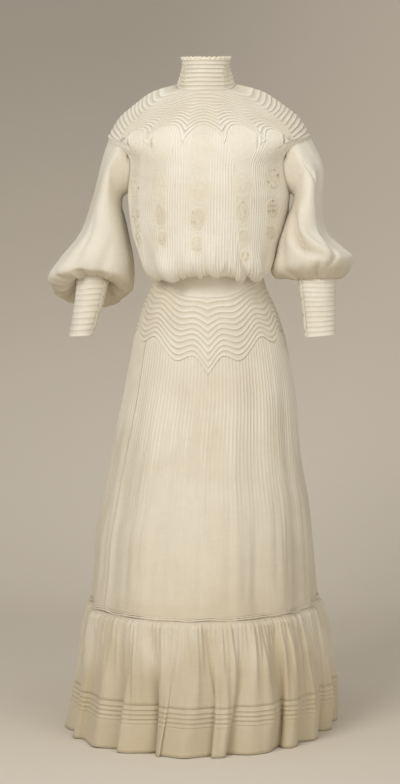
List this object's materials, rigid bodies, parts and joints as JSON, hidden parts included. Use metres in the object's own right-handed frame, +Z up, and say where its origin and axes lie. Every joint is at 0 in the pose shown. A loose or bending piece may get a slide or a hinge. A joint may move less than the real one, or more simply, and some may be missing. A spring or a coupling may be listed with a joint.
{
  "type": "day dress",
  "caption": "Long-sleeved day dress with high tucked collar, pouched lace-set blouse front, scalloped hip yoke and gathered flounce, in its worn shape with no wearer.",
  "frame": {"origin": "middle of the shoulder line, between the shoulder tips and under the collar, where the wearer holds the dress up", "axes": "+Z up along the wearer, -Y to the front, +X to the wearer's left"},
  "size_m": [0.668, 0.8008, 1.457],
  "materials": {
    "lawn": "fine cream cotton lawn, matt with a faint sheen",
    "skirt_lawn": "fine cream cotton lawn, slightly deeper where layers lie over each other",
    "lace": "openwork cotton lace, cream, matt",
    "button": "small covered or shell buttons, satin"
  },
  "bodies": {
    "root": {"back_placket": "lawn", "bodice_back_left": "lawn", "bodice_back_right": "lawn", "bodice_front": "lawn", "collar": "lawn", "collar_frill": "lace", "collar_lace_left": "lace", "collar_lace_right": "lace", "cuff_button_left_1": "button", "cuff_button_left_2": "button", "cuff_button_left_3": "button", "cuff_button_left_4": "button", "cuff_button_right_1": "button", "cuff_button_right_2": "button", "cuff_button_right_3": "button", "cuff_button_right_4": "button", "cuff_left": "lawn", "cuff_placket_left": "lawn", "cuff_placket_right": "lawn", "cuff_right": "lawn", "flounce_back": "skirt_lawn", "flounce_cord": "skirt_lawn", "flounce_front": "skirt_lawn", "flounce_hem_back": "skirt_lawn", "flounce_hem_front": "skirt_lawn", "hip_yoke_back": "skirt_lawn", "hip_yoke_front": "skirt_lawn", "lace_centre_1": "lace", "lace_centre_2": "lace", "lace_centre_3": "lace", "lace_centre_4": "lace", "lace_left_1": "lace", "lace_left_2": "lace", "lace_left_3": "lace", "lace_left_4": "lace", "lace_left_5": "lace", "lace_left_side_1": "lace", "lace_left_side_2": "lace", "lace_left_side_3": "lace", "lace_left_side_4": "lace", "lace_right_1": "lace", "lace_right_2": "lace", "lace_right_3": "lace", "lace_right_4": "lace", "lace_right_side_1": "lace", "lace_right_side_2": "lace", "lace_right_side_3": "lace", "lace_right_side_4": "lace", "skirt_back_left": "skirt_lawn", "skirt_back_right": "skirt_lawn", "skirt_front": "skirt_lawn", "skirt_side_left": "skirt_lawn", "skirt_side_right": "skirt_lawn", "sleeve_left": "lawn", "sleeve_right": "lawn", "waist_panel": "skirt_lawn", "yoke_back_left": "lawn", "yoke_back_right": "lawn", "yoke_front": "lawn"}
  },
  "joints": []
}
